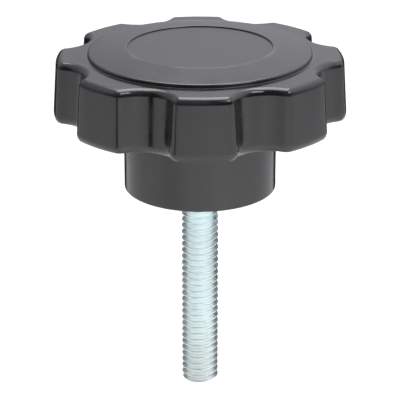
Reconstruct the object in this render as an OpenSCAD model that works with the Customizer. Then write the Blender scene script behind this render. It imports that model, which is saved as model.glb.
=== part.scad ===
// Eight-arm clamping knob: a phenolic moulding with a steel stud moulded into its hub.
// Millimetres. The origin is the centre of the hub's seat, and +Z runs along the axis towards the head.

/* [Head] */
// Diameter across the arms, at their foot
head_d = 60.325; // [55:0.125:75]
// Number of arms
arm_count = 8; // [5:1:10]
// Height of the arms
arm_h = 12.75; // [9:0.25:16]
// Lean of the arms' sides, which lets the head leave its mould, in degrees
arm_draft = 3.7; // [1:0.1:4.5]
// Rounding along the top edge of the arms
arm_top_round = 1.5; // [0.6:0.1:1.6]
// Rounding along the bottom edge of the arms
arm_bottom_round = 1.4; // [0.4:0.1:1.6]

/* [Finger notches] */
// Depth of a notch between two arms
notch_depth = 3.6; // [2.5:0.1:4.2]
// Radius of a notch's floor, seen from above
notch_r = 6.2; // [5:0.1:7.5]
// Radius of the arms' corners, seen from above
arm_corner_r = 2.5; // [2.4:0.1:3.2]

/* [Face disc] */
// Least width of the flat land around the raised disc, where a notch comes nearest
land_w = 1.4; // [0.4:0.1:4]
// Height of the disc's edge above the arms
face_step = 0.75; // [0.4:0.05:1.5]
// Rounding of the disc's edge
face_round = 0.5; // [0.1:0.05:0.5]
// Rise of the crowned disc from its edge to the centre recess
crown_rise = 1.05; // [0.6:0.05:2]
// Width of the crowned ring around the flat centre recess
ring_w = 8.2; // [4:0.05:12]
// Depth of the centre recess
recess_depth = 0.3; // [0.1:0.05:0.6]

/* [Hub] */
// Diameter of the hub
hub_d = 31.5; // [26:0.25:38]
// Height of the hub, from its seat to the arms
hub_h = 15.75; // [12:0.125:22]
// Rounding of the hub's edge at its seat
hub_edge_round = 0.4; // [0.2:0.1:1]
// Fillet between the hub and the underside of the arms
hub_root_round = 1.0; // [0.5:0.1:2]

/* [Stud] */
// Major diameter of the thread, 5/16 in
thread_d = 7.9375; // [6:0.0625:10]
// Pitch of the thread, 18 turns to the inch
thread_pitch = 1.4111; // [1:0.0001:1.8]
// Length of the stud below the hub's seat, 1-3/4 in
stud_length = 44.45; // [20:0.05:80]
// Chamfer at the stud's tip
tip_chamfer = 0.85; // [0.4:0.05:1.2]
// How much slimmer than the thread the plain neck inside the hub is, in diameter
neck_step = 0.9375; // [0.4:0.0125:1.5]
// Room around the thread's last turn, in the countersink at the hub's seat
thread_relief = 0.3; // [0.1:0.05:1]
// Length of the neck, from the seat to the anchor head
neck_length = 5.0; // [3:0.25:7]
// Width of the hexagonal anchor head across its flats, 1/2 in
anchor_af = 12.7; // [9:0.1:16]
// Height of the anchor head
anchor_h = 5.16; // [3:0.02:7]
// Play between the stud and the moulding around it, none where the moulding has shrunk on
moulding_gap = 0; // [0:0.01:0.05]

/* [Hidden] */

phenolic_black = [0.045, 0.045, 0.05];
zinc_grey = [0.72, 0.76, 0.80];

// How far parts of one moulding run into each other, and cuts run past a face
overlap = 1;
// How far an arm's rounded corners stand proud of the faces they join, so that the faces cross cleanly
corner_proud = 0.05;
// Facets of a circle, and of the crown's flat arc
$fn = 96;
crown_fn = 720;

head_r = head_d / 2;
hub_r = hub_d / 2;
thread_r = thread_d / 2;
neck_d = thread_d - neck_step;
countersink_r = thread_r + thread_relief;
land_z = hub_h + arm_h;

// A thread of 60 degrees: its crests are an eighth of the pitch wide, and its depth follows from the pitch
flank_angle = 30;
crest_w = thread_pitch / 8;
thread_depth = 0.6134 * thread_pitch;
groove_w = thread_pitch - crest_w;
root_w = groove_w - 2 * thread_depth * tan(flank_angle);
// As many grooves as the stud's full diameter has room for, counted down from the seat
groove_count = round((stud_length - tip_chamfer) / thread_pitch);

// The edges are rounded no further than the walls they run along allow
draft_set_in = arm_h * tan(arm_draft);
least_corner_r = 0.1;
top_room = (arm_corner_r - draft_set_in - least_corner_r) * cos(arm_draft) / (1 - sin(arm_draft));
top_round = min(arm_top_round, top_room);
bottom_round = min(arm_bottom_round, arm_h - top_round);
face_edge_round = min(face_round, face_step);

// Radial depth of the drafted side and its rounded top edge, and the disc and recess that lie inside it
top_set_in = draft_set_in + top_round * (1 - sin(arm_draft)) / cos(arm_draft);
face_r = head_r - notch_depth - top_set_in - land_w;
recess_r = face_r - ring_w;

// A notch is an arc about a centre outside the head, and an arm's corners are arcs that run into it
notch_centre = head_r - notch_depth + notch_r;
corner_centre = head_r - arm_corner_r;
corner_span = notch_r + arm_corner_r;
corner_angle = acos((pow(notch_centre, 2) + pow(corner_centre, 2) - pow(corner_span, 2))
    / (2 * notch_centre * corner_centre));
corner_place = polar(corner_centre, corner_angle);
// Direction from the notch's centre to a corner's centre, where the notch's floor ends
notch_side_angle = atan2(corner_place[1], corner_place[0] - notch_centre);
arm_pitch = 360 / arm_count;

// The solid core that the arms and notch walls stand on, and how far a notch's wall reaches into it
core_r = head_r - notch_depth - corner_span / 2;
notch_wall_r = norm(polar(core_r, corner_angle) - [notch_centre, 0]) + overlap;

// The crown is a ball that passes through the disc's edge and the lip of the recess
edge_z = land_z + face_step;
lip_z = edge_z + crown_rise;
crown_centre_z = (lip_z + edge_z) / 2 - (pow(face_r, 2) - pow(recess_r, 2)) / (2 * crown_rise);
crown_r = norm([face_r, edge_z - crown_centre_z]);
edge_round_x = face_r - face_edge_round;
edge_round_z = crown_centre_z + sqrt(pow(crown_r - face_edge_round, 2) - pow(edge_round_x, 2));
// A point outside the crown, on the line from its centre through the edge's rounding
crown_reach = crown_r * 1.1 / norm([edge_round_x, edge_round_z - crown_centre_z]);
crown_side = [edge_round_x * crown_reach, crown_centre_z + (edge_round_z - crown_centre_z) * crown_reach];

// Point at distance r from the axis, in the direction of an angle
function polar(r, angle) = r * [cos(angle), sin(angle)];

// Half section of a drafted wall with both edges rounded, of radius r at its foot
module wall_section(r) {
    foot_x = r - bottom_round * (1 + sin(arm_draft)) / cos(arm_draft);
    top_x = r - top_set_in;
    intersection() {
        union() {
            polygon([
                [0, 0],
                [foot_x, 0],
                [foot_x + bottom_round * cos(arm_draft), bottom_round * (1 + sin(arm_draft))],
                [top_x + top_round * cos(arm_draft), arm_h - top_round * (1 - sin(arm_draft))],
                [top_x, arm_h],
                [0, arm_h]
            ]);
            translate([foot_x, bottom_round]) circle(bottom_round);
            translate([top_x, arm_h - top_round]) circle(top_round);
        }
        square([r, arm_h]);
    }
}

// The round blank of the head, opened where the notches come, so that only the arms' outer faces are left
module arm_faces() {
    difference() {
        rotate_extrude() wall_section(head_r);
        for (i = [0 : arm_count - 1])
            rotate((i + 0.5) * arm_pitch)
                translate([0, 0, -overlap])
                    linear_extrude(arm_h + 2 * overlap)
                        polygon([
                            polar(core_r, -corner_angle),
                            polar(2 * head_r, -corner_angle),
                            polar(2 * head_r, corner_angle),
                            polar(core_r, corner_angle)
                        ]);
    }
}

// The hollow wall of one notch, turned about the notch's own centre
module notch_wall() {
    translate([notch_centre, 0, 0])
        rotate_extrude(angle = 360 - 2 * notch_side_angle, start = notch_side_angle)
            intersection() {
                translate([notch_r + head_r, 0]) mirror([1, 0]) wall_section(head_r);
                square([notch_wall_r, arm_h]);
            }
}

// The rounded corner between a notch and an arm's face, turned about its own centre
module arm_corner() {
    translate(corner_place)
        rotate_extrude() wall_section(arm_corner_r + corner_proud);
}

// The head without its face disc, from the foot of the arms upwards
module arms() {
    arm_faces();
    for (i = [0 : arm_count - 1])
        rotate((i + 0.5) * arm_pitch) {
            notch_wall();
            arm_corner();
            mirror([0, 1, 0]) arm_corner();
        }
}

// The crowned disc on top, with its rounded edge and flat recess
module face_disc() {
    rotate_extrude()
        difference() {
            union() {
                intersection() {
                    translate([0, crown_centre_z]) circle(crown_r, $fn = crown_fn);
                    polygon([[0, crown_centre_z], crown_side, [0, crown_side[1] + crown_r]]);
                    translate([0, land_z - overlap]) square([face_r, crown_r]);
                }
                translate([edge_round_x, edge_round_z]) circle(face_edge_round);
                translate([0, land_z - overlap]) square([face_r, edge_round_z - land_z + overlap]);
            }
            translate([0, lip_z - recess_depth]) square([recess_r, crown_r]);
        }
}

// The hub, with its rounded seat edge and the fillet under the arms
module hub() {
    rotate_extrude() {
        square([hub_r - hub_edge_round, hub_h + overlap]);
        translate([0, hub_edge_round]) square([hub_r, hub_h + overlap - hub_edge_round]);
        translate([hub_r - hub_edge_round, hub_edge_round]) circle(hub_edge_round);
        translate([0, hub_h - hub_root_round])
            difference() {
                square([hub_r + hub_root_round, hub_root_round + overlap]);
                translate([hub_r + hub_root_round, 0]) circle(hub_root_round);
            }
    }
}

// The stud's plain neck and hexagon head, which the moulding grips, and the hollow they leave in it
module anchor(gap) {
    translate([0, 0, -overlap])
        cylinder(h = neck_length + 2 * overlap, d = neck_d + 2 * gap);
    translate([0, 0, neck_length - gap])
        rotate(30)
            cylinder(h = anchor_h + 2 * gap, d = (anchor_af + 2 * gap) / cos(30), $fn = 6);
}

// A right-angled countersink in the hub's seat, which clears the thread's last turn
module countersink() {
    translate([0, 0, -overlap])
        cylinder(h = countersink_r + overlap, r1 = countersink_r + overlap, r2 = 0);
}

// One black phenolic moulding: hub, arms and face disc
module knob_body() {
    color(phenolic_black)
        difference() {
            union() {
                hub();
                translate([0, 0, hub_h]) arms();
                face_disc();
            }
            anchor(moulding_gap);
            countersink();
        }
}

// Section of one thread groove, centred on the height of its root and running out past the crests
module groove_section() {
    mouth_w = groove_w + 2 * overlap * tan(flank_angle);
    polygon([
        [thread_r - thread_depth, -root_w / 2],
        [thread_r + overlap, -mouth_w / 2],
        [thread_r + overlap, mouth_w / 2],
        [thread_r - thread_depth, root_w / 2]
    ]);
}

// Zinc-plated steel stud, with a ring groove for each turn of its thread
module threaded_stud() {
    color(zinc_grey) {
        rotate_extrude()
            difference() {
                polygon([
                    [0, -stud_length],
                    [thread_r - tip_chamfer, -stud_length],
                    [thread_r, tip_chamfer - stud_length],
                    [thread_r, 0],
                    [0, 0]
                ]);
                for (i = [0 : groove_count - 1])
                    translate([0, -(i + 0.5) * thread_pitch]) groove_section();
            }
        anchor(0);
    }
}

knob_body();
threaded_stud();
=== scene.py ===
"""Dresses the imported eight-arm knob: a black moulding on a zinc-plated stud, in a white studio."""

import logging
from dataclasses import dataclass
from enum import Enum
from math import acos, atan2, cos, hypot, pi, radians, sin, sqrt, tan
from typing import Any, Optional

import bmesh
import bpy
from bmesh.types import BMEdge, BMesh, BMVert
from bpy.types import Material, NodeSocket, Object
from mathutils import Matrix, Vector


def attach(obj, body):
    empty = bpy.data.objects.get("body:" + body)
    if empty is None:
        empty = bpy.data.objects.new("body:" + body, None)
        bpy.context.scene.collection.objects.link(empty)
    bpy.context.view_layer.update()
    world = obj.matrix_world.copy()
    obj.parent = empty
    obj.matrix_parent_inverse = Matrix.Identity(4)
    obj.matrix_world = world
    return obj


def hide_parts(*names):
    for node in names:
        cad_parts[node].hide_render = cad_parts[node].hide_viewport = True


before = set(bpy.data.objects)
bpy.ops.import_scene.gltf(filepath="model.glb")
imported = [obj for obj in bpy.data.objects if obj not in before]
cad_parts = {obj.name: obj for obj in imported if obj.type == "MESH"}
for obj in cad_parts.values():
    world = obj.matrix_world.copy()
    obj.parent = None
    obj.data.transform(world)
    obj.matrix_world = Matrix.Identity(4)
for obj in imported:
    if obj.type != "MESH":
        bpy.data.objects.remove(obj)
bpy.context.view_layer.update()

LOG = logging.getLogger("knob")

# A colour and its opacity
Colour = tuple[float, float, float, float]

MM = 0.001
INCH_IN_MM = 25.4
BODY = "root"
UP = Vector((0.0, 0.0, 1.0))
CENTRE = Vector((0.0, 0.0, 0.0))
WHITE: Colour = (1.0, 1.0, 1.0, 1.0)
HEX_SIDES = 6
# Vertices nearer than this are one vertex
MERGE = 0.001 * MM
# An edge that turns by more than this shows as a sharp line
SHARP_ANGLE = radians(34.0)


class Slot(Enum):
    """The record's material slots."""

    PHENOLIC = "phenolic"
    ZINC_STEEL = "zinc_steel"


class ThreadHand(Enum):
    """The way a thread climbs as it is turned anticlockwise from above."""

    RIGHT = 1
    LEFT = -1


def point(x: float, z: float) -> Vector:
    """Returns a point of the section plane, from millimetres to metres."""
    return Vector((x * MM, 0.0, z * MM))


def polar(radius: float, angle: float) -> Vector:
    """Returns a point around the axis, from millimetres and radians to metres."""
    return Vector((radius * cos(angle) * MM, radius * sin(angle) * MM, 0.0))


def bearing(vert: BMVert) -> float:
    """Returns the angle of a vertex around the axis, from just below zero to a full turn."""
    slack = 1e-4
    return (atan2(vert.co.y, vert.co.x) + slack) % (2.0 * pi) - slack


def only_verts(geom: list[Any]) -> list[BMVert]:
    """Returns the vertices among mixed mesh elements."""
    return [item for item in geom if isinstance(item, BMVert)]


def only_edges(geom: list[Any]) -> list[BMEdge]:
    """Returns the edges among mixed mesh elements."""
    return [item for item in geom if isinstance(item, BMEdge)]


def open_loop(bm: BMesh, z: float) -> list[BMEdge]:
    """Finds the open edges of a mesh at one height.

    Args:
        bm: The mesh.
        z: The height in millimetres.

    Returns:
        The boundary edges whose ends both lie at that height.
    """
    slack = 0.01 * MM
    return [
        edge
        for edge in bm.edges
        if edge.is_boundary and all(abs(vert.co.z - z * MM) < slack for vert in edge.verts)
    ]


def join(bm: BMesh, other: BMesh) -> None:
    """Adds the contents of one mesh to another and frees it.

    Args:
        bm: The mesh that is added to.
        other: The mesh that is added.
    """
    carrier = bpy.data.meshes.new("carrier")
    other.to_mesh(carrier)
    other.free()
    bm.from_mesh(carrier)
    bpy.data.meshes.remove(carrier)


def finished_piece(bm: BMesh, name: str) -> Object:
    """Turns a mesh into a shaded object at the origin.

    Args:
        bm: The mesh, which is freed.
        name: The piece's name.

    Returns:
        The new object, linked into the scene.
    """
    bmesh.ops.recalc_face_normals(bm, faces=bm.faces[:])
    for face in bm.faces:
        face.smooth = True
    for edge in bm.edges:
        edge.smooth = edge.calc_face_angle(0.0) < SHARP_ANGLE
    mesh = bpy.data.meshes.new(name)
    bm.to_mesh(mesh)
    bm.free()
    piece = bpy.data.objects.new(name, mesh)
    bpy.context.scene.collection.objects.link(piece)
    return piece


class SectionPen:
    """Draws half a section, as a chain of edges in the XZ plane that a spin turns into a surface."""

    def __init__(self, x: float, z: float) -> None:
        """Starts a new mesh with one vertex.

        Args:
            x: Distance of the start from the axis, in millimetres.
            z: Height of the start, in millimetres.
        """
        self.bm: BMesh = bmesh.new()
        self.tip: BMVert = self.bm.verts.new(point(x, z))

    def line(self, x: float, z: float, steps: int = 1) -> None:
        """Draws a straight line from the tip.

        Args:
            x: Distance of its end from the axis, in millimetres.
            z: Height of its end, in millimetres.
            steps: Number of edges.
        """
        stride = (point(x, z) - self.tip.co) / steps
        for _ in range(steps):
            drawn = bmesh.ops.extrude_vert_indiv(self.bm, verts=[self.tip])
            bmesh.ops.translate(self.bm, verts=drawn["verts"], vec=stride)
            self.tip = drawn["verts"][0]

    def arc(self, x: float, z: float, angle: float, steps: int) -> None:
        """Draws an arc from the tip.

        Args:
            x: Distance of its centre from the axis, in millimetres.
            z: Height of its centre, in millimetres.
            angle: How far it turns, in radians, from outwards to upwards.
            steps: Number of edges.
        """
        turned = bmesh.ops.spin(
            self.bm,
            geom=[self.tip],
            cent=point(x, z),
            axis=Vector((0.0, -1.0, 0.0)),
            angle=angle,
            steps=steps,
        )
        self.tip = only_verts(turned["geom_last"])[-1]

    def revolved(self, columns: int) -> BMesh:
        """Spins the section once round the axis.

        Args:
            columns: Number of steps.

        Returns:
            The mesh of the turned surface.
        """
        section = self.bm.verts[:] + self.bm.edges[:]
        bmesh.ops.spin(
            self.bm,
            geom=section,
            cent=CENTRE,
            axis=UP,
            angle=2.0 * pi,
            steps=columns,
            use_merge=True,
        )
        bmesh.ops.remove_doubles(self.bm, verts=self.bm.verts[:], dist=MERGE)
        return self.bm


@dataclass(frozen=True)
class CloudPattern:
    """A cloudy pattern on a piece."""

    # Waves in a metre, and how many finer layers it has
    waves: float
    layers: float


@dataclass(frozen=True)
class SpeckPattern:
    """Round specks scattered over a piece."""

    # Cells in a metre, each with room for one speck, and how many of them have one
    cells: float
    share: float
    # Radius of a speck as a share of its cell, and the share of that radius at which it begins to fade
    size: float
    core: float = 0.4


class ShaderGraph:
    """A node tree that is built a node at a time."""

    MIX_FACTOR = 0
    MIX_FIRST = 6
    MIX_SECOND = 7
    MIX_RESULT = 2

    def __init__(self, tree: bpy.types.NodeTree) -> None:
        """Takes a node tree, and the coordinates that its patterns follow.

        Args:
            tree: The tree of a material or a world.
        """
        self.tree = tree
        self.coords = tree.nodes.new("ShaderNodeTexCoord")

    @property
    def place(self) -> NodeSocket:
        """Returns the piece's own coordinates, in metres."""
        return self.coords.outputs["Object"]

    def feed(self, socket: NodeSocket, value: Any) -> None:
        """Links a socket to another, or gives it a plain value."""
        if isinstance(value, NodeSocket):
            self.tree.links.new(value, socket)
        else:
            socket.default_value = value

    def node(self, kind: str, settings: dict[str, Any], inputs: dict[Any, Any]) -> bpy.types.Node:
        """Adds a node.

        Args:
            kind: The node's type.
            settings: Its properties.
            inputs: What its sockets are fed with, by name or number.

        Returns:
            The new node.
        """
        made = self.tree.nodes.new(kind)
        for name, value in settings.items():
            setattr(made, name, value)
        for name, value in inputs.items():
            self.feed(made.inputs[name], value)
        return made

    def noise(self, pattern: CloudPattern, vector: Optional[NodeSocket] = None) -> NodeSocket:
        """Adds a cloudy pattern.

        Args:
            pattern: The pattern.
            vector: Where it reads its place from, if not the piece itself.

        Returns:
            The pattern's value, from 0 to 1.
        """
        inputs = {"Vector": vector or self.place, "Scale": pattern.waves, "Detail": pattern.layers}
        return self.node("ShaderNodeTexNoise", {}, inputs).outputs[0]

    def specks(self, pattern: SpeckPattern) -> NodeSocket:
        """Adds scattered round specks.

        Args:
            pattern: The specks.

        Returns:
            1 in a speck, falling to 0 around it.
        """
        cells = self.node("ShaderNodeTexVoronoi", {}, {"Vector": self.place, "Scale": pattern.cells})
        spot = self.remap(cells.outputs["Distance"], pattern.core * pattern.size, pattern.size, 1.0, 0.0)
        chosen, _, _ = self.axes(cells.outputs["Color"])
        return self.times(spot, self.math("LESS_THAN", chosen, pattern.share))

    def stretched(self, turn: float, across: float, along: float) -> NodeSocket:
        """Turns the piece's coordinates about the axis and stretches them.

        Args:
            turn: The angle, in radians.
            across: Factor along the turned Y axis.
            along: Factor along the Z axis.

        Returns:
            The new coordinates.
        """
        inputs = {"Vector": self.place, "Rotation": (0.0, 0.0, turn), "Scale": (1.0, across, along)}
        return self.node("ShaderNodeMapping", {}, inputs).outputs[0]

    def axes(self, vector: NodeSocket) -> tuple[NodeSocket, NodeSocket, NodeSocket]:
        """Returns the X, Y and Z of a vector."""
        split = self.node("ShaderNodeSeparateXYZ", {}, {0: vector})
        return split.outputs[0], split.outputs[1], split.outputs[2]

    def from_axis(self, x: NodeSocket, y: NodeSocket) -> NodeSocket:
        """Returns the distance from the Z axis."""
        return self.math("SQRT", self.math("MULTIPLY_ADD", x, x, self.times(y, y)))

    def math(self, operation: str, first: Any, second: Any = 0.0, third: Any = 0.0) -> NodeSocket:
        """Adds a sum.

        Args:
            operation: The name of the sum.
            first: Its first number.
            second: Its second number, if it has one.
            third: Its third number, if it has one.

        Returns:
            The result.
        """
        settings = {"operation": operation}
        return self.node("ShaderNodeMath", settings, {0: first, 1: second, 2: third}).outputs[0]

    def times(self, first: Any, second: Any) -> NodeSocket:
        """Returns the product of two numbers."""
        return self.math("MULTIPLY", first, second)

    def remap(self, value: NodeSocket, low: float, high: float, start: float, end: float) -> NodeSocket:
        """Maps a value smoothly from one range to another, and keeps it inside.

        Args:
            value: The value.
            low: Where the range begins.
            high: Where the range ends.
            start: The result at low.
            end: The result at high.

        Returns:
            The mapped value.
        """
        inputs = {0: value, 1: low, 2: high, 3: start, 4: end}
        settings = {"interpolation_type": "SMOOTHSTEP"}
        return self.node("ShaderNodeMapRange", settings, inputs).outputs[0]

    def band(self, value: NodeSocket, centre: float, reach: float) -> NodeSocket:
        """Marks a narrow range of a value.

        Args:
            value: The value.
            centre: The middle of the range.
            reach: How far the range goes to either side.

        Returns:
            1 in the middle, falling smoothly to 0 at the ends.
        """
        away = self.math("ABSOLUTE", self.math("SUBTRACT", value, centre))
        return self.remap(away, 0.0, reach, 1.0, 0.0)

    def blend(self, share: Any, first: Any, second: Any) -> NodeSocket:
        """Mixes two colours.

        Args:
            share: How much of the second there is.
            first: The first colour.
            second: The second colour.

        Returns:
            The mixed colour.
        """
        inputs = {self.MIX_FACTOR: share, self.MIX_FIRST: first, self.MIX_SECOND: second}
        return self.node("ShaderNodeMix", {"data_type": "RGBA"}, inputs).outputs[self.MIX_RESULT]

    def bump(self, height: NodeSocket, depth: float, normal: Optional[NodeSocket] = None) -> NodeSocket:
        """Roughens the surface by a pattern.

        Args:
            height: The pattern.
            depth: Its height in metres.
            normal: The result of another pattern under it.

        Returns:
            The new normal.
        """
        inputs = {"Height": height, "Distance": depth, "Strength": 1.0}
        if normal is not None:
            inputs["Normal"] = normal
        return self.node("ShaderNodeBump", {}, inputs).outputs[0]


@dataclass(frozen=True)
class MouldingZones:
    """Where the moulding's finish changes. Lengths are in metres."""

    # Radius of the grained recess, and a height below it and above the arms
    recess_r: float
    recess_z: float
    # Radius of the raised disc's foot
    foot_r: float
    # Heights at which the arms' top edge begins and ends
    edge_low: float
    edge_high: float


@dataclass(frozen=True)
class Scuffs:
    """Fine scuffs that run one way over the moulding."""

    pattern: CloudPattern
    # Turn about the axis in radians, and how much finer they are across than along
    turn: float
    finer: float
    # Values of the pattern at which a scuff begins and is at its full strength
    begins: float
    full: float

    def share(self, graph: ShaderGraph) -> NodeSocket:
        """Returns how strong the scuffs are, from 0 to 1."""
        pattern = graph.noise(self.pattern, graph.stretched(self.turn, self.finer, 1.0))
        return graph.remap(pattern, self.begins, self.full, 0.0, 1.0)


@dataclass(frozen=True)
class MouldedPhenolic:
    """Black phenolic, glossy from the mould, with orange peel, scuffs, rubbed edges, pits, dust and a
    painted highlight on the recess's lip.

    Lengths are in metres. A pair of numbers is the range of the clouds over which something comes in.
    """

    black: Colour = (0.0150, 0.0150, 0.0162, 1.0)
    cloud: Colour = (0.0205, 0.0205, 0.0222, 1.0)
    # Colour of the scuffs, and of the painted highlight on the recess's lip
    scuff_and_lip_highlight: Colour = (0.080, 0.080, 0.085, 1.0)
    rubbed: Colour = (0.040, 0.040, 0.043, 1.0)
    dust: Colour = (0.060, 0.060, 0.062, 1.0)
    refraction: float = 1.58
    clouds: CloudPattern = CloudPattern(waves=140.0, layers=4.0)
    cloud_range: tuple[float, float] = (0.35, 0.68)
    # Roughness from the glossiest places to the dullest, and what the recess and a scuff add
    gloss_low: float = 0.13
    gloss_high: float = 0.22
    gloss_range: tuple[float, float] = (0.3, 0.7)
    recess_extra: float = 0.10
    scuff_extra: float = 0.16
    # How far the recess's edge and a change by height take to fade
    recess_fade: float = 0.15 * MM
    height_fade: float = 0.1 * MM
    # Scuffs, and how much of their colour shows
    long_scuffs: Scuffs = Scuffs(
        CloudPattern(waves=260.0, layers=3.0), turn=0.6, finer=5.0, begins=0.64, full=0.74
    )
    cross_scuffs: Scuffs = Scuffs(
        CloudPattern(waves=340.0, layers=3.0), turn=-0.9, finer=6.0, begins=0.66, full=0.76
    )
    scuff_strength: float = 0.2
    rub_range: tuple[float, float] = (0.42, 0.62)
    # The painted highlight along the recess's lip: its middle outside the recess, its reach, and its
    # fading towards the back
    lip_out: float = 0.35 * MM
    lip_reach: float = 0.8 * MM
    lip_near_y: float = -9.0 * MM
    lip_far_y: float = 3.0 * MM
    lip_least: float = 0.1
    lip_range: tuple[float, float] = (0.40, 0.60)
    # Dust settled at the disc's foot, and specks of it on the top
    foot_reach: float = 0.5 * MM
    foot_height: float = 0.6 * MM
    specks: SpeckPattern = SpeckPattern(cells=420.0, share=0.30, size=0.11)
    speck_strength: float = 0.8
    # Orange peel, the recess's grain with its share elsewhere, and a few pits on the top
    peel: CloudPattern = CloudPattern(waves=620.0, layers=2.0)
    peel_depth: float = 0.006 * MM
    grain: CloudPattern = CloudPattern(waves=3400.0, layers=3.0)
    grain_depth: float = 0.006 * MM
    grain_elsewhere: float = 0.1
    pits: SpeckPattern = SpeckPattern(cells=330.0, share=0.10, size=0.10)
    pit_depth: float = 0.08 * MM

    def material(self, zones: MouldingZones) -> Material:
        """Builds the material.

        Args:
            zones: Where the finish changes.

        Returns:
            The material.
        """
        made = bpy.data.materials.new("moulded_phenolic")
        made.use_nodes = True
        graph = ShaderGraph(made.node_tree)
        surface = made.node_tree.nodes["Principled BSDF"]
        x, y, z = graph.axes(graph.place)
        radius = graph.from_axis(x, y)
        clouds = graph.noise(self.clouds)

        inside = graph.remap(radius, zones.recess_r - self.recess_fade, zones.recess_r, 1.0, 0.0)
        above = graph.remap(z, zones.recess_z, zones.recess_z + self.height_fade, 0.0, 1.0)
        recess = graph.times(inside, above)
        on_top = graph.remap(z, zones.edge_high - self.height_fade, zones.edge_high, 0.0, 1.0)

        scuffs = graph.math("MAXIMUM", self.long_scuffs.share(graph), self.cross_scuffs.share(graph))
        edge_reach = (zones.edge_high - zones.edge_low) / 2.0
        edge = graph.band(z, zones.edge_low + edge_reach, edge_reach)
        rub_share = graph.times(edge, graph.remap(clouds, *self.rub_range, 0.0, 1.0))
        # Painted highlight along the recess's lip, strongest at the front and broken by the clouds
        lip_band = graph.band(radius, zones.recess_r + self.lip_out, self.lip_reach)
        lip = graph.times(lip_band, above)
        near = graph.remap(y, self.lip_near_y, self.lip_far_y, 1.0, self.lip_least)
        broken = graph.remap(clouds, *self.lip_range, self.lip_least, 1.0)
        lip_highlight_share = graph.times(graph.times(lip, near), broken)
        foot = graph.band(radius, zones.foot_r, self.foot_reach)
        settled = graph.times(foot, graph.band(z, zones.edge_high, self.foot_height))
        specks = graph.times(graph.specks(self.specks), on_top)
        dust_share = graph.math("MAXIMUM", settled, graph.times(specks, self.speck_strength))

        cloud_share = graph.remap(clouds, *self.cloud_range, 0.0, 1.0)
        body_colour = graph.blend(cloud_share, self.black, self.cloud)
        rubbed_colour = graph.blend(rub_share, body_colour, self.rubbed)
        scuff_share = graph.times(scuffs, self.scuff_strength)
        # The scuffs share their colour with the painted highlight on the recess's lip
        scuff_and_lip_highlight_share = graph.math("MAXIMUM", scuff_share, lip_highlight_share)
        scuff_and_lip_highlight_colour = graph.blend(scuff_and_lip_highlight_share, rubbed_colour, self.scuff_and_lip_highlight)
        colour = graph.blend(dust_share, scuff_and_lip_highlight_colour, self.dust)
        graph.feed(surface.inputs["Base Color"], colour)

        even = graph.remap(clouds, *self.gloss_range, self.gloss_low, self.gloss_high)
        with_recess = graph.math("MULTIPLY_ADD", recess, self.recess_extra, even)
        rough = graph.math("MULTIPLY_ADD", scuffs, self.scuff_extra, with_recess)
        graph.feed(surface.inputs["Roughness"], rough)

        grain_share = graph.math("MULTIPLY_ADD", recess, 1.0 - self.grain_elsewhere, self.grain_elsewhere)
        grain_height = graph.times(graph.noise(self.grain), grain_share)
        peeled = graph.bump(graph.noise(self.peel), self.peel_depth)
        grained = graph.bump(grain_height, self.grain_depth, peeled)
        pits = graph.times(graph.specks(self.pits), on_top)
        pitted = graph.bump(graph.math("SUBTRACT", 1.0, pits), self.pit_depth, grained)
        graph.feed(surface.inputs["Normal"], pitted)
        surface.inputs["IOR"].default_value = self.refraction
        return made


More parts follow.
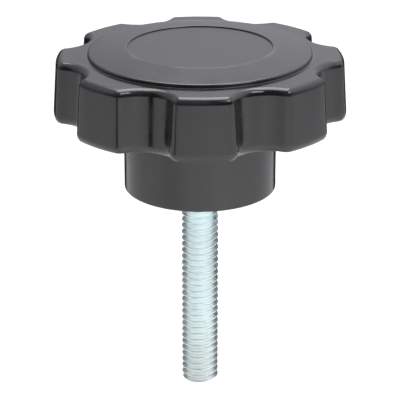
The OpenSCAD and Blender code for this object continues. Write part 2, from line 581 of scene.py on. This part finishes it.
@dataclass(frozen=True)
class ZincPlate:
    """Zinc plate, bluish, neutral towards the tip, with painted light near the seat against the hub's
    shade, and faintly iridescent. Lengths are in metres.
    """

    blue: Colour = (0.802, 0.900, 0.898, 1.0)
    # Painted light near the seat, which offsets the shade under the hub
    painted_seat_light: Colour = (0.788, 0.902, 0.912, 1.0)
    neutral: Colour = (0.740, 0.796, 0.781, 1.0)
    lilac: Colour = (0.820, 0.862, 0.905, 1.0)
    straw: Colour = (0.820, 0.884, 0.836, 1.0)
    # Shares of the way from tip to seat where the plate is all blue, where the painted light near the
    # seat begins, and where it is full
    all_blue: float = 0.4
    seat_light_begins: float = 0.6
    seat_light_full: float = 0.9
    # Iridescent tints, how much finer they are along the stud, and where lilac and straw come in
    tints: CloudPattern = CloudPattern(waves=330.0, layers=2.0)
    tint_finer: float = 2.0
    tint_strength: float = 0.8
    lilac_range: tuple[float, float] = (0.55, 0.75)
    straw_range: tuple[float, float] = (0.45, 0.25)
    # The duller cut end: its colour, how far up it reaches, and the share of that which has it in full
    cut_end: Colour = (0.700, 0.715, 0.700, 1.0)
    cut_reach: float = 1.2 * MM
    cut_full: float = 0.4
    # Duller patches, and the fine grain of the plate
    patches: CloudPattern = CloudPattern(waves=900.0, layers=3.0)
    patch_depth: float = 0.0008 * MM
    patch_range: tuple[float, float] = (0.3, 0.7)
    rough_low: float = 0.30
    rough_high: float = 0.38
    fine: CloudPattern = CloudPattern(waves=5200.0, layers=2.0)
    fine_depth: float = 0.0002 * MM

    def material(self, tip_z: float, seat_z: float) -> Material:
        """Builds the material.

        Args:
            tip_z: Height of the stud's tip, in metres.
            seat_z: Height of its upper end, in metres.

        Returns:
            The material.
        """
        made = bpy.data.materials.new("zinc_plate")
        made.use_nodes = True
        graph = ShaderGraph(made.node_tree)
        surface = made.node_tree.nodes["Principled BSDF"]
        _, _, z = graph.axes(graph.place)
        length = seat_z - tip_z
        tints = graph.noise(self.tints, graph.stretched(0.0, 1.0, self.tint_finer))
        patches = graph.noise(self.patches)

        along = graph.remap(z, tip_z, tip_z + self.all_blue * length, 0.0, 1.0)
        # Painted light near the seat, against the shade under the hub
        seat_light_z = tip_z + self.seat_light_full * length
        upper = graph.remap(z, tip_z + self.seat_light_begins * length, seat_light_z, 0.0, 1.0)
        base = graph.blend(upper, graph.blend(along, self.neutral, self.blue), self.painted_seat_light)
        lilac_share = graph.remap(tints, *self.lilac_range, 0.0, self.tint_strength)
        straw_share = graph.remap(tints, *self.straw_range, 0.0, self.tint_strength)
        tinted = graph.blend(straw_share, graph.blend(lilac_share, base, self.lilac), self.straw)
        full_z = tip_z + self.cut_full * self.cut_reach
        cut_share = graph.remap(z, full_z, tip_z + self.cut_reach, 1.0, 0.0)
        colour = graph.blend(cut_share, tinted, self.cut_end)
        graph.feed(surface.inputs["Base Color"], colour)

        rough = graph.remap(patches, *self.patch_range, self.rough_low, self.rough_high)
        graph.feed(surface.inputs["Roughness"], rough)
        under = graph.bump(patches, self.patch_depth)
        graph.feed(surface.inputs["Normal"], graph.bump(graph.noise(self.fine), self.fine_depth, under))
        surface.inputs["Metallic"].default_value = 1.0
        return made


@dataclass
class KnobMoulding:
    """The eight-arm head, its crowned disc and its hub, as one moulding. Sizes are in millimetres."""

    finish: MouldedPhenolic
    head_d: float = 60.325
    arm_count: int = 8
    arm_h: float = 12.75
    arm_draft: float = radians(3.7)
    top_round: float = 1.5
    # The bottom edge rolls in gently, then turns under at the mould's parting line
    bottom_round: float = 1.9
    bottom_turn: float = radians(45.0)
    parting_round: float = 0.35
    notch_depth: float = 3.6
    notch_r: float = 6.2
    corner_r: float = 2.5
    land_w: float = 1.4
    face_step: float = 0.75
    face_round: float = 0.45
    face_root_round: float = 0.12
    crown_rise: float = 1.05
    ring_w: float = 8.2
    recess_depth: float = 0.3
    lip_round: float = 0.26
    hub_d: float = 31.5
    hub_h: float = 15.75
    seat_round: float = 0.4
    root_round: float = 1.0
    countersink_r: float = 4.26875
    neck_r: float = 3.5
    neck_length: float = 5.0
    anchor_af: float = 12.7
    anchor_h: float = 5.16
    # How far above the disc's edge the recess's own finish begins
    recess_margin: float = 0.1
    # Mesh columns of half an arm's face, of a corner and of half a notch
    face_columns: int = 4
    corner_columns: int = 12
    notch_columns: int = 8
    # Mesh rows of the rim, from the parting line up to the land
    parting_rows: int = 4
    bottom_rows: int = 8
    wall_rows: int = 6
    top_rows: int = 12
    # Mesh rows of the disc, from its foot to the recess
    foot_rows: int = 8
    edge_rows: int = 8
    crown_rows: int = 20
    lip_rows: int = 6
    floor_rows: int = 4
    # Mesh rows of the hub, from its root to the bore
    root_rows: int = 8
    hub_rows: int = 8
    seat_rows: int = 6
    seat_flat_rows: int = 4
    neck_rows: int = 2
    # Widths of the narrow rows that keep a flat true beside a rounding
    rim_support: float = 0.15
    hub_support: float = 0.2
    floor_support: float = 0.3
    # Share of the recess's radius that one face in its middle covers
    middle_share: float = 0.08

    def __post_init__(self) -> None:
        """Works out the places that the sizes lead to."""
        self.head_r = self.head_d / 2.0
        self.hub_r = self.hub_d / 2.0
        self.land_z = self.hub_h + self.arm_h
        lean = self.arm_draft
        self.top_set_in = self.arm_h * tan(lean) + self.top_round * (1.0 - sin(lean)) / cos(lean)
        self.face_r = self.head_r - self.notch_depth - self.top_set_in - self.land_w
        self.recess_r = self.face_r - self.ring_w
        self.edge_z = self.land_z + self.face_step
        self.lip_z = self.edge_z + self.crown_rise
        spread = (self.face_r**2 - self.recess_r**2) / (2.0 * self.crown_rise)
        self.crown_z = (self.lip_z + self.edge_z) / 2.0 - spread
        self.crown_r = hypot(self.face_r, self.edge_z - self.crown_z)
        half_columns = self.face_columns + self.corner_columns + self.notch_columns
        self.columns = 2 * half_columns * self.arm_count

    def build(self) -> Object:
        """Models the moulding as one closed mesh.

        Returns:
            The finished piece.
        """
        bm = self.rim()
        self.lay_ring(bm, open_loop(bm, self.land_z), self.face_r + self.face_root_round, self.land_z)
        self.lay_ring(bm, open_loop(bm, self.hub_h), self.hub_r + self.root_round, self.hub_h)
        join(bm, self.crowned_disc())
        join(bm, self.hub())
        bmesh.ops.remove_doubles(bm, verts=bm.verts[:], dist=MERGE)
        return finished_piece(bm, "eight_arm_moulding")

    def rim(self) -> BMesh:
        """Sweeps the drafted wall round the arms and notches.

        Returns:
            The band between the land and the underside, open at both.
        """
        support = self.rim_support
        lean = self.arm_draft
        step_in = self.bottom_round - self.parting_round
        rise = self.parting_round + step_in * sin(self.bottom_turn)
        arc_x = self.head_r - (self.bottom_round + rise * sin(lean)) / cos(lean)
        foot_x = arc_x + step_in * cos(self.bottom_turn)
        pen = SectionPen(foot_x - support, self.hub_h)
        pen.line(foot_x, self.hub_h)
        under_turn = pi / 2.0 - self.bottom_turn
        pen.arc(foot_x, self.hub_h + self.parting_round, under_turn, self.parting_rows)
        pen.arc(arc_x, self.hub_h + rise, self.bottom_turn + lean, self.bottom_rows)
        top_x = self.head_r - self.top_set_in
        top_z = self.land_z - self.top_round
        start = pen.tip.co.copy() / MM
        end = Vector((top_x + self.top_round * cos(lean), 0.0, top_z + self.top_round * sin(lean)))
        margin = (end - start).normalized() * support
        pen.line(start.x + margin.x, start.z + margin.z)
        pen.line(end.x - margin.x, end.z - margin.z, self.wall_rows)
        pen.line(end.x, end.z)
        pen.arc(top_x, top_z, pi / 2.0 - lean, self.top_rows)
        pen.line(top_x - support, self.land_z)

        bm = pen.bm
        last = bm.verts[:] + bm.edges[:]
        for centre, angle, steps in self.path():
            swept = bmesh.ops.spin(bm, geom=last, cent=centre, axis=UP, angle=angle, steps=steps)
            last = swept["geom_last"]
        bmesh.ops.spin(
            bm,
            geom=bm.verts[:] + bm.edges[:] + bm.faces[:],
            cent=CENTRE,
            axis=UP,
            angle=2.0 * pi * (self.arm_count - 1) / self.arm_count,
            steps=self.arm_count - 1,
            use_duplicate=True,
        )
        bmesh.ops.remove_doubles(bm, verts=bm.verts[:], dist=MERGE)
        return bm

    def path(self) -> list[tuple[Vector, float, int]]:
        """Works out how the wall turns from the middle of one arm to the middle of the next.

        Returns:
            For each arc, its centre, its angle and its number of columns.
        """
        half_pitch = pi / self.arm_count
        notch_at = self.head_r - self.notch_depth + self.notch_r
        corner_at = self.head_r - self.corner_r
        span = self.notch_r + self.corner_r
        swing = acos((notch_at**2 + corner_at**2 - span**2) / (2.0 * notch_at * corner_at))
        side = atan2(corner_at * sin(swing), notch_at - corner_at * cos(swing))
        return [
            (CENTRE, half_pitch - swing, self.face_columns),
            (polar(corner_at, half_pitch - swing), side + swing, self.corner_columns),
            (polar(notch_at, half_pitch), -2.0 * side, 2 * self.notch_columns),
            (polar(corner_at, half_pitch + swing), side + swing, self.corner_columns),
            (CENTRE, half_pitch - swing, self.face_columns),
        ]

    def lay_ring(self, bm: BMesh, loop: list[BMEdge], radius: float, z: float) -> list[BMEdge]:
        """Extrudes an open loop and lays its new edge evenly on a circle.

        Args:
            bm: The mesh.
            loop: The loop's edges.
            radius: Radius of the circle, in millimetres.
            z: Its height, in millimetres.

        Returns:
            The new edges.
        """
        drawn = bmesh.ops.extrude_edge_only(bm, edges=loop)["geom"]
        ring = sorted(only_verts(drawn), key=bearing)
        for index, vert in enumerate(ring):
            vert.co = polar(radius, 2.0 * pi * index / len(ring)) + UP * (z * MM)
        return [edge for edge in only_edges(drawn) if edge.is_boundary]

    def crowned_disc(self) -> BMesh:
        """Turns the raised disc: its filleted foot, rounded edge, crown, lip and recess.

        Returns:
            The disc, open below.
        """
        round_x = self.face_r - self.face_round
        round_z = self.crown_z + sqrt((self.crown_r - self.face_round) ** 2 - round_x**2)
        lip_x = self.recess_r + self.lip_round
        lip_z = self.crown_z + sqrt((self.crown_r - self.lip_round) ** 2 - lip_x**2)
        edge_angle = atan2(round_z - self.crown_z, round_x)
        lip_angle = atan2(lip_z - self.crown_z, lip_x)
        floor_z = self.lip_z - self.recess_depth
        foot_x = self.face_r + self.face_root_round
        pen = SectionPen(foot_x, self.land_z)
        pen.arc(foot_x, self.land_z + self.face_root_round, -pi / 2.0, self.foot_rows)
        pen.line(self.face_r, round_z)
        pen.arc(round_x, round_z, edge_angle, self.edge_rows)
        pen.arc(0.0, self.crown_z, lip_angle - edge_angle, self.crown_rows)
        pen.arc(lip_x, lip_z, pi - lip_angle, self.lip_rows)
        pen.line(self.recess_r, floor_z)
        pen.line(self.recess_r - self.floor_support, floor_z)
        pen.line(self.recess_r * self.middle_share, floor_z, self.floor_rows)
        bm = pen.revolved(self.columns)
        bmesh.ops.edgeloop_fill(bm, edges=open_loop(bm, floor_z))
        return bm

    def hub(self) -> BMesh:
        """Turns the hub from its fillet under the arms to the bore, and adds the anchor's pocket.

        Returns:
            The hub, open above.
        """
        root_x = self.hub_r + self.root_round
        root_z = self.hub_h - self.root_round
        seat_x = self.hub_r - self.seat_round
        pen = SectionPen(root_x, self.hub_h)
        pen.arc(root_x, root_z, pi / 2.0, self.root_rows)
        pen.line(self.hub_r, root_z - self.hub_support)
        pen.line(self.hub_r, self.seat_round + self.hub_support, self.hub_rows)
        pen.line(self.hub_r, self.seat_round)
        pen.arc(seat_x, self.seat_round, -pi / 2.0, self.seat_rows)
        pen.line(seat_x - self.hub_support, 0.0)
        pen.line(self.countersink_r, 0.0, self.seat_flat_rows)
        pen.line(self.neck_r, self.countersink_r - self.neck_r)
        pen.line(self.neck_r, self.neck_length, self.neck_rows)
        bm = pen.revolved(self.columns)
        ring = open_loop(bm, self.neck_length)
        for height in (self.neck_length, self.neck_length + self.anchor_h):
            ring = self.lay_hexagon(bm, ring, height)
        bmesh.ops.edgeloop_fill(bm, edges=ring)
        return bm

    def lay_hexagon(self, bm: BMesh, loop: list[BMEdge], z: float) -> list[BMEdge]:
        """Extrudes an open loop and lays its new edge on the anchor's hexagon.

        Args:
            bm: The mesh.
            loop: The loop's edges.
            z: Height of the hexagon, in millimetres.

        Returns:
            The new edges.
        """
        ring = self.lay_ring(bm, loop, self.neck_r, z)
        corner = pi / HEX_SIDES
        for vert in {vert for edge in ring for vert in edge.verts}:
            turn = atan2(vert.co.y, vert.co.x)
            off_flat = (turn + corner) % (2.0 * corner) - corner
            vert.co = polar(self.anchor_af / 2.0 / cos(off_flat), turn) + UP * (z * MM)
        return ring

    def dress(self, piece: Object) -> None:
        """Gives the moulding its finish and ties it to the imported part."""
        zones = MouldingZones(
            recess_r=self.recess_r * MM,
            recess_z=(self.edge_z + self.recess_margin) * MM,
            foot_r=self.face_r * MM,
            edge_low=(self.land_z - self.top_round) * MM,
            edge_high=self.land_z * MM,
        )
        piece.data.materials.append(self.finish.material(zones))
        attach(piece, BODY)
        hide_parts("knob_body")


@dataclass
class ThreadedStud:
    """The plated stud with its rolled thread, and the anchor inside the hub. Sizes are in millimetres."""

    finish: ZincPlate
    hand: ThreadHand = ThreadHand.RIGHT
    # Near the low end of a class 2A thread's range, a little under the basic size
    thread_d: float = 7.70
    # Eighteen turns to the inch
    pitch: float = INCH_IN_MM / 18.0
    length: float = 44.45
    tip_chamfer: float = 0.55
    # Thread depth and crest width as shares of the pitch, and the rounding at root and crest
    depth_share: float = 0.6134
    crest_share: float = 0.125
    flank_angle: float = radians(30.0)
    crest_round: float = 0.055
    root_round: float = 0.03
    start_turn: float = radians(136.0)
    run_out: float = 0.9
    neck_d: float = 7.0
    neck_length: float = 5.0
    anchor_af: float = 12.7
    anchor_h: float = 5.16
    # Mesh columns of a turn, rows of a flank and of a rounding, and turns beyond the ends
    columns: int = 48
    flank_rows: int = 5
    round_rows: int = 3
    spare_turns: int = 2

    def build(self) -> Object:
        """Models the stud as one closed mesh.

        Returns:
            The finished piece.
        """
        bm = self.thread()
        self.cut_ends(bm)
        self.add_anchor(bm)
        bmesh.ops.remove_doubles(bm, verts=bm.verts[:], dist=MERGE)
        return finished_piece(bm, "threaded_stud_zinc")

    def thread_section(self) -> BMesh:
        """Draws one pitch of the thread, with its corners rounded.

        Returns:
            A chain of edges from one root to the next.
        """
        crest_r = self.thread_d / 2.0
        root_r = crest_r - self.depth_share * self.pitch
        flank = (crest_r - root_r) * tan(self.flank_angle)
        crest = self.crest_share * self.pitch
        half_root = (self.pitch - crest - 2.0 * flank) / 2.0
        pen = SectionPen(root_r, 0.0)
        pen.line(root_r, half_root)
        roots = [pen.tip]
        pen.line(crest_r, half_root + flank, self.flank_rows)
        crests = [pen.tip]
        pen.line(crest_r, half_root + flank + crest)
        crests.append(pen.tip)
        pen.line(root_r, self.pitch - half_root, self.flank_rows)
        roots.append(pen.tip)
        pen.line(root_r, self.pitch)
        for corners, offset in ((crests, self.crest_round), (roots, self.root_round)):
            bmesh.ops.bevel(
                pen.bm,
                geom=corners,
                offset=offset * MM,
                offset_type="OFFSET",
                affect="VERTICES",
                segments=self.round_rows,
                profile=0.5,
                material=-1,
            )
        return pen.bm

    def thread(self) -> BMesh:
        """Winds the thread up past the seat and down past the tip.

        Returns:
            The open thread.
        """
        bm = self.thread_section()
        climb = self.pitch * self.hand.value * MM
        start = Matrix.Rotation(self.start_turn, 3, UP)
        bmesh.ops.rotate(bm, verts=bm.verts[:], cent=CENTRE, matrix=start)
        bmesh.ops.spin(
            bm,
            geom=bm.verts[:] + bm.edges[:],
            cent=CENTRE,
            axis=UP,
            dvec=UP * (climb / self.columns),
            angle=2.0 * pi,
            steps=self.columns,
        )
        turns = int(self.length / self.pitch) + self.spare_turns
        bmesh.ops.spin(
            bm,
            geom=bm.verts[:] + bm.edges[:] + bm.faces[:],
            cent=CENTRE,
            axis=UP,
            dvec=UP * (-self.pitch * MM),
            angle=0.0,
            steps=turns,
            use_duplicate=True,
        )
        bmesh.ops.remove_doubles(bm, verts=bm.verts[:], dist=MERGE)
        return bm

    def cut_ends(self, bm: BMesh) -> None:
        """Cuts the thread at seat and tip, chamfers the tip and runs the thread out into the neck.

        Args:
            bm: The open thread.
        """
        for height, facing in ((0.0, UP), (-self.length, -UP)):
            bmesh.ops.bisect_plane(
                bm,
                geom=bm.verts[:] + bm.edges[:] + bm.faces[:],
                dist=MERGE,
                plane_co=UP * (height * MM),
                plane_no=facing,
                clear_outer=True,
            )
        tip_r = self.thread_d / 2.0 - self.tip_chamfer
        for vert in bm.verts:
            height = vert.co.z / MM
            radius = hypot(vert.co.x, vert.co.y) / MM
            allowed = min(radius, tip_r + height + self.length)
            share = max(0.0, 1.0 + height / self.run_out)
            eased = share * share * (3.0 - 2.0 * share)
            wanted = allowed + (self.neck_d / 2.0 - allowed) * eased
            vert.co.x *= wanted / radius
            vert.co.y *= wanted / radius
        bmesh.ops.edgeloop_fill(bm, edges=open_loop(bm, -self.length))

    def add_anchor(self, bm: BMesh) -> None:
        """Draws the plain neck up from the seat and closes it with the hexagon head.

        Args:
            bm: The cut thread, open at the seat.
        """
        neck = bmesh.ops.extrude_edge_only(bm, edges=open_loop(bm, 0.0))["geom"]
        bmesh.ops.translate(bm, verts=only_verts(neck), vec=UP * (self.neck_length * MM))
        shoulder = open_loop(bm, self.neck_length)
        half_side = pi / HEX_SIDES
        corner_r = self.anchor_af / 2.0 / cos(half_side) * MM
        place = Matrix.Translation(UP * (self.neck_length * MM)) @ Matrix.Rotation(half_side, 4, UP)
        drawn = bmesh.ops.create_circle(bm, segments=HEX_SIDES, radius=corner_r, matrix=place)
        sides = list({edge for vert in drawn["verts"] for edge in vert.link_edges})
        bmesh.ops.subdivide_edges(bm, edges=sides, cuts=self.columns // HEX_SIDES - 1)
        hexagon = [edge for edge in bm.edges if edge.is_wire]
        bmesh.ops.bridge_loops(bm, edges=shoulder + hexagon)
        raised = bmesh.ops.extrude_edge_only(bm, edges=open_loop(bm, self.neck_length))["geom"]
        bmesh.ops.translate(bm, verts=only_verts(raised), vec=UP * (self.anchor_h * MM))
        bmesh.ops.edgeloop_fill(bm, edges=open_loop(bm, self.neck_length + self.anchor_h))

    def dress(self, piece: Object) -> None:
        """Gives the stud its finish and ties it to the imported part."""
        piece.data.materials.append(self.finish.material(-self.length * MM, 0.0))
        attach(piece, BODY)
        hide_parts("threaded_stud")


@dataclass(frozen=True)
class FloorPatch:
    """A soft patch of the floor that reflections show darker or brighter. Lengths are in metres."""

    x: float
    y: float
    reach: float
    # Gain of the lift in its middle
    gain: float


@dataclass(frozen=True)
class WhiteSweep:
    """White studio floor, lifted to plain white for the camera and unevenly in reflections."""

    white: Colour = (0.64, 0.64, 0.64, 1.0)
    lift: float = 0.47
    # Lift in a reflection, in front of the knob and behind it, and its share to the left and to the right
    front_lift: float = 0.86
    back_lift: float = 0.28
    left_share: float = 0.55
    right_share: float = 0.75
    front_y: float = -0.20
    back_y: float = 0.15
    left_x: float = -0.6
    full_x: float = 0.15
    right_x: float = 0.5
    # Share of the lift straight under the stud, and how far out it has come back
    under_share: float = 0.1
    under_from: float = 0.02
    under_to: float = 0.06
    patches: tuple[FloorPatch, ...] = (
        FloorPatch(x=-0.21, y=-0.20, reach=0.16, gain=0.65),
        FloorPatch(x=0.15, y=-0.25, reach=0.14, gain=1.2),
    )

    def material(self) -> Material:
        """Returns the floor's material."""
        made = bpy.data.materials.new("white_sweep")
        made.use_nodes = True
        tree = made.node_tree
        tree.nodes.clear()
        graph = ShaderGraph(tree)
        x, y, _ = graph.axes(graph.place)
        path = tree.nodes.new("ShaderNodeLightPath")
        glossy = path.outputs["Is Glossy Ray"]
        mirrored = graph.math("MAXIMUM", glossy, path.outputs["Is Transmission Ray"])
        left = graph.remap(x, self.left_x, self.full_x, self.left_share, 1.0)
        right = graph.remap(x, self.full_x, self.right_x, 1.0, self.right_share)
        under = graph.remap(graph.from_axis(x, y), self.under_from, self.under_to, self.under_share, 1.0)
        across = graph.times(under, graph.times(left, right))
        for patch in self.patches:
            away_x = graph.math("SUBTRACT", x, patch.x)
            away_y = graph.math("SUBTRACT", y, patch.y)
            gain = graph.remap(graph.from_axis(away_x, away_y), 0.0, patch.reach, patch.gain, 1.0)
            across = graph.times(across, gain)
        along = graph.remap(y, self.front_y, self.back_y, self.front_lift, self.back_lift)
        direct = graph.times(path.outputs["Is Camera Ray"], self.lift)
        matt = graph.node("ShaderNodeBsdfDiffuse", {}, {"Color": self.white})
        strength = graph.math("MULTIPLY_ADD", graph.times(across, along), mirrored, direct)
        glow = graph.node("ShaderNodeEmission", {}, {"Strength": strength})
        both = graph.node("ShaderNodeAddShader", {}, {0: matt.outputs[0], 1: glow.outputs[0]})
        out = tree.nodes.new("ShaderNodeOutputMaterial")
        graph.feed(out.inputs["Surface"], both.outputs[0])
        return made


@dataclass(frozen=True)
class Softbox:
    """A soft lamp that faces the knob. Angles are in radians and lengths in metres."""

    name: str
    # Turn to the right of the camera's side, and height above the horizon
    azimuth: float
    elevation: float
    distance: float
    width: float
    height: float
    radiance: float

    def hang(self) -> None:
        """Hangs the lamp."""
        lamp = bpy.data.lights.new(self.name, "AREA")
        lamp.shape = "RECTANGLE"
        lamp.size = self.width
        lamp.size_y = self.height
        lamp.energy = self.radiance * pi * self.width * self.height
        out = self.distance * cos(self.elevation)
        place = Vector((
            out * sin(self.azimuth),
            -out * cos(self.azimuth),
            self.distance * sin(self.elevation),
        ))
        holder = bpy.data.objects.new(self.name, lamp)
        holder.location = place
        holder.rotation_euler = place.to_track_quat("Z", "Y").to_euler()
        bpy.context.scene.collection.objects.link(holder)


@dataclass(frozen=True)
class StudioCard:
    """A card that only reflections show, to draw dark edges and pale ones. Lengths are in metres."""

    name: str
    # Turn of its middle to the right of the camera's side, and the angle that it spans
    azimuth: float
    spread: float
    distance: float
    bottom: float
    top: float
    grey: float
    # How far it leans outwards from bottom to top, and how much it glows in a reflection
    flare: float = 0.0
    glow: float = 0.0
    roughness: float = 0.9
    columns: int = 12

    def stand(self) -> None:
        """Stands the card around the knob, facing it."""
        bm = bmesh.new()
        start = self.azimuth - self.spread / 2.0
        outwards = Vector((sin(start), -cos(start), 0.0))
        low = bm.verts.new(outwards * self.distance + UP * self.bottom)
        side = bmesh.ops.extrude_vert_indiv(bm, verts=[low])
        across = outwards * self.flare + UP * (self.top - self.bottom)
        bmesh.ops.translate(bm, verts=side["verts"], vec=across)
        bmesh.ops.spin(
            bm,
            geom=bm.verts[:] + bm.edges[:],
            cent=CENTRE,
            axis=UP,
            angle=self.spread,
            steps=self.columns,
        )
        card = finished_piece(bm, self.name)
        card.data.materials.append(self.material())
        card.visible_camera = False
        card.visible_diffuse = False
        card.visible_shadow = False

    def material(self) -> Material:
        """Returns the card's material."""
        made = bpy.data.materials.new(self.name)
        made.use_nodes = True
        surface = made.node_tree.nodes["Principled BSDF"]
        surface.inputs["Base Color"].default_value = (self.grey, self.grey, self.grey, 1.0)
        surface.inputs["Roughness"].default_value = self.roughness
        surface.inputs["Emission Color"].default_value = WHITE
        surface.inputs["Emission Strength"].default_value = self.glow
        return made


@dataclass
class Studio:
    """The floor, the soft light around and above, and the camera. Lengths are in metres."""

    sweep: WhiteSweep
    lamps: tuple[Softbox, ...] = (
        Softbox(
            name="overhead_softbox", azimuth=pi, elevation=radians(70.0), distance=0.70,
            width=0.42, height=0.62, radiance=3.9,
        ),
        Softbox(
            name="key_softbox", azimuth=radians(48.0), elevation=radians(53.0), distance=0.50,
            width=0.24, height=0.12, radiance=6.0,
        ),
    )
    cards: tuple[StudioCard, ...] = (
        # Dark edges on the hub's two sides
        StudioCard(
            name="back_card", azimuth=radians(178.0), spread=radians(70.0), distance=0.20,
            bottom=-0.104, top=-0.03, grey=0.01,
        ),
        # Dark edges on the arms to the left and right
        StudioCard(
            name="back_left_card", azimuth=radians(-148.0), spread=radians(48.0), distance=0.35,
            bottom=-0.104, top=0.060, grey=0.01,
        ),
        StudioCard(
            name="back_right_card", azimuth=radians(145.0), spread=radians(42.0), distance=0.35,
            bottom=-0.104, top=0.052, grey=0.01,
        ),
        # Dark upright lines in the notch at the front left
        StudioCard(
            name="front_left_card", azimuth=radians(-31.0), spread=radians(6.0), distance=0.045,
            bottom=0.010, top=0.027, grey=0.05,
        ),
        # The stud's greyer sides
        StudioCard(
            name="stud_left_card", azimuth=radians(-143.0), spread=radians(50.0), distance=0.014,
            bottom=-0.048, top=-0.003, grey=0.60,
        ),
        StudioCard(
            name="stud_right_card", azimuth=radians(138.0), spread=radians(60.0), distance=0.014,
            bottom=-0.048, top=-0.003, grey=0.38,
        ),
        # A flat ring under the hub that glows in reflections only, painted light which the undersides of
        # the thread show
        StudioCard(
            name="hub_glow_ring", azimuth=0.0, spread=radians(150.0), distance=0.0045,
            bottom=-0.0006, top=-0.0006, grey=0.5, flare=0.0050, glow=0.70,
        ),
    )
    floor_z: float = -0.104
    floor_r: float = 3.0
    floor_columns: int = 96
    # Light of the surroundings from the horizon up to the zenith, and the unlit side behind the camera
    horizon: float = 0.47
    zenith_gain: float = 1.26
    dark_side: float = 0.05
    dark_from: float = -0.45
    dark_to: float = 0.10
    # Share of that light on the left and on the right
    left_share: float = 0.55
    right_share: float = 1.0
    left_x: float = -0.35
    right_x: float = 0.10
    daylight: Colour = (0.985, 0.985, 1.05, 1.0)
    # The camera, from the photograph
    distance: float = 0.4076
    elevation: float = radians(21.215)
    turn: float = radians(1.5)
    aim_z: float = -0.003391
    lens: float = 174.84
    sensor: float = 36.0

    def lay_floor(self) -> None:
        """Lays the floor."""
        bm = bmesh.new()
        bmesh.ops.create_circle(
            bm,
            cap_ends=True,
            segments=self.floor_columns,
            radius=self.floor_r,
            matrix=Matrix.Translation(UP * self.floor_z),
        )
        floor = finished_piece(bm, "studio_floor")
        floor.data.materials.append(self.sweep.material())

    def light(self) -> None:
        """Sets the view transform, the lamps and cards, and the soft light of the surroundings."""
        scene = bpy.context.scene
        scene.view_settings.view_transform = "Standard"
        for lamp in self.lamps:
            lamp.hang()
        for card in self.cards:
            card.stand()
        world = bpy.data.worlds.new("soft_studio")
        world.use_nodes = True
        scene.world = world
        graph = ShaderGraph(world.node_tree)
        x, y, z = graph.axes(graph.coords.outputs["Generated"])
        level = graph.math("MULTIPLY_ADD", graph.math("MAXIMUM", z, 0.0), self.zenith_gain, self.horizon)
        depth = graph.remap(y, self.dark_from, self.dark_to, self.dark_side, 1.0)
        across = graph.remap(x, self.left_x, self.right_x, self.left_share, self.right_share)
        shade = graph.times(level, graph.times(depth, across))
        path = world.node_tree.nodes.new("ShaderNodeLightPath")
        unseen = graph.math("SUBTRACT", 1.0, path.outputs["Is Camera Ray"])
        strength = graph.math("MULTIPLY_ADD", shade, unseen, path.outputs["Is Camera Ray"])
        background = world.node_tree.nodes["Background"]
        graph.feed(background.inputs["Color"], graph.blend(unseen, WHITE, self.daylight))
        graph.feed(background.inputs["Strength"], strength)

    def place_camera(self) -> None:
        """Places the camera at the photograph's angle."""
        data = bpy.data.cameras.new("studio_camera")
        data.sensor_width = self.sensor
        data.lens = self.lens
        camera = bpy.data.objects.new("studio_camera", data)
        out = self.distance * cos(self.elevation)
        camera.location = (
            -out * sin(self.turn),
            -out * cos(self.turn),
            self.aim_z + self.distance * sin(self.elevation),
        )
        camera.rotation_euler = (pi / 2.0 - self.elevation, 0.0, -self.turn)
        bpy.context.scene.collection.objects.link(camera)
        bpy.context.scene.camera = camera


def main() -> None:
    """Builds the studio and the two pieces, and reports each piece."""
    logging.basicConfig(level=logging.INFO, format="%(message)s")
    studio = Studio(WhiteSweep())
    studio.place_camera()
    studio.lay_floor()
    studio.light()
    for part in (KnobMoulding(MouldedPhenolic()), ThreadedStud(ZincPlate())):
        piece = part.build()
        part.dress(piece)
        LOG.info("%s: %d faces", piece.name, len(piece.data.polygons))


if __name__ == "__main__":
    main()
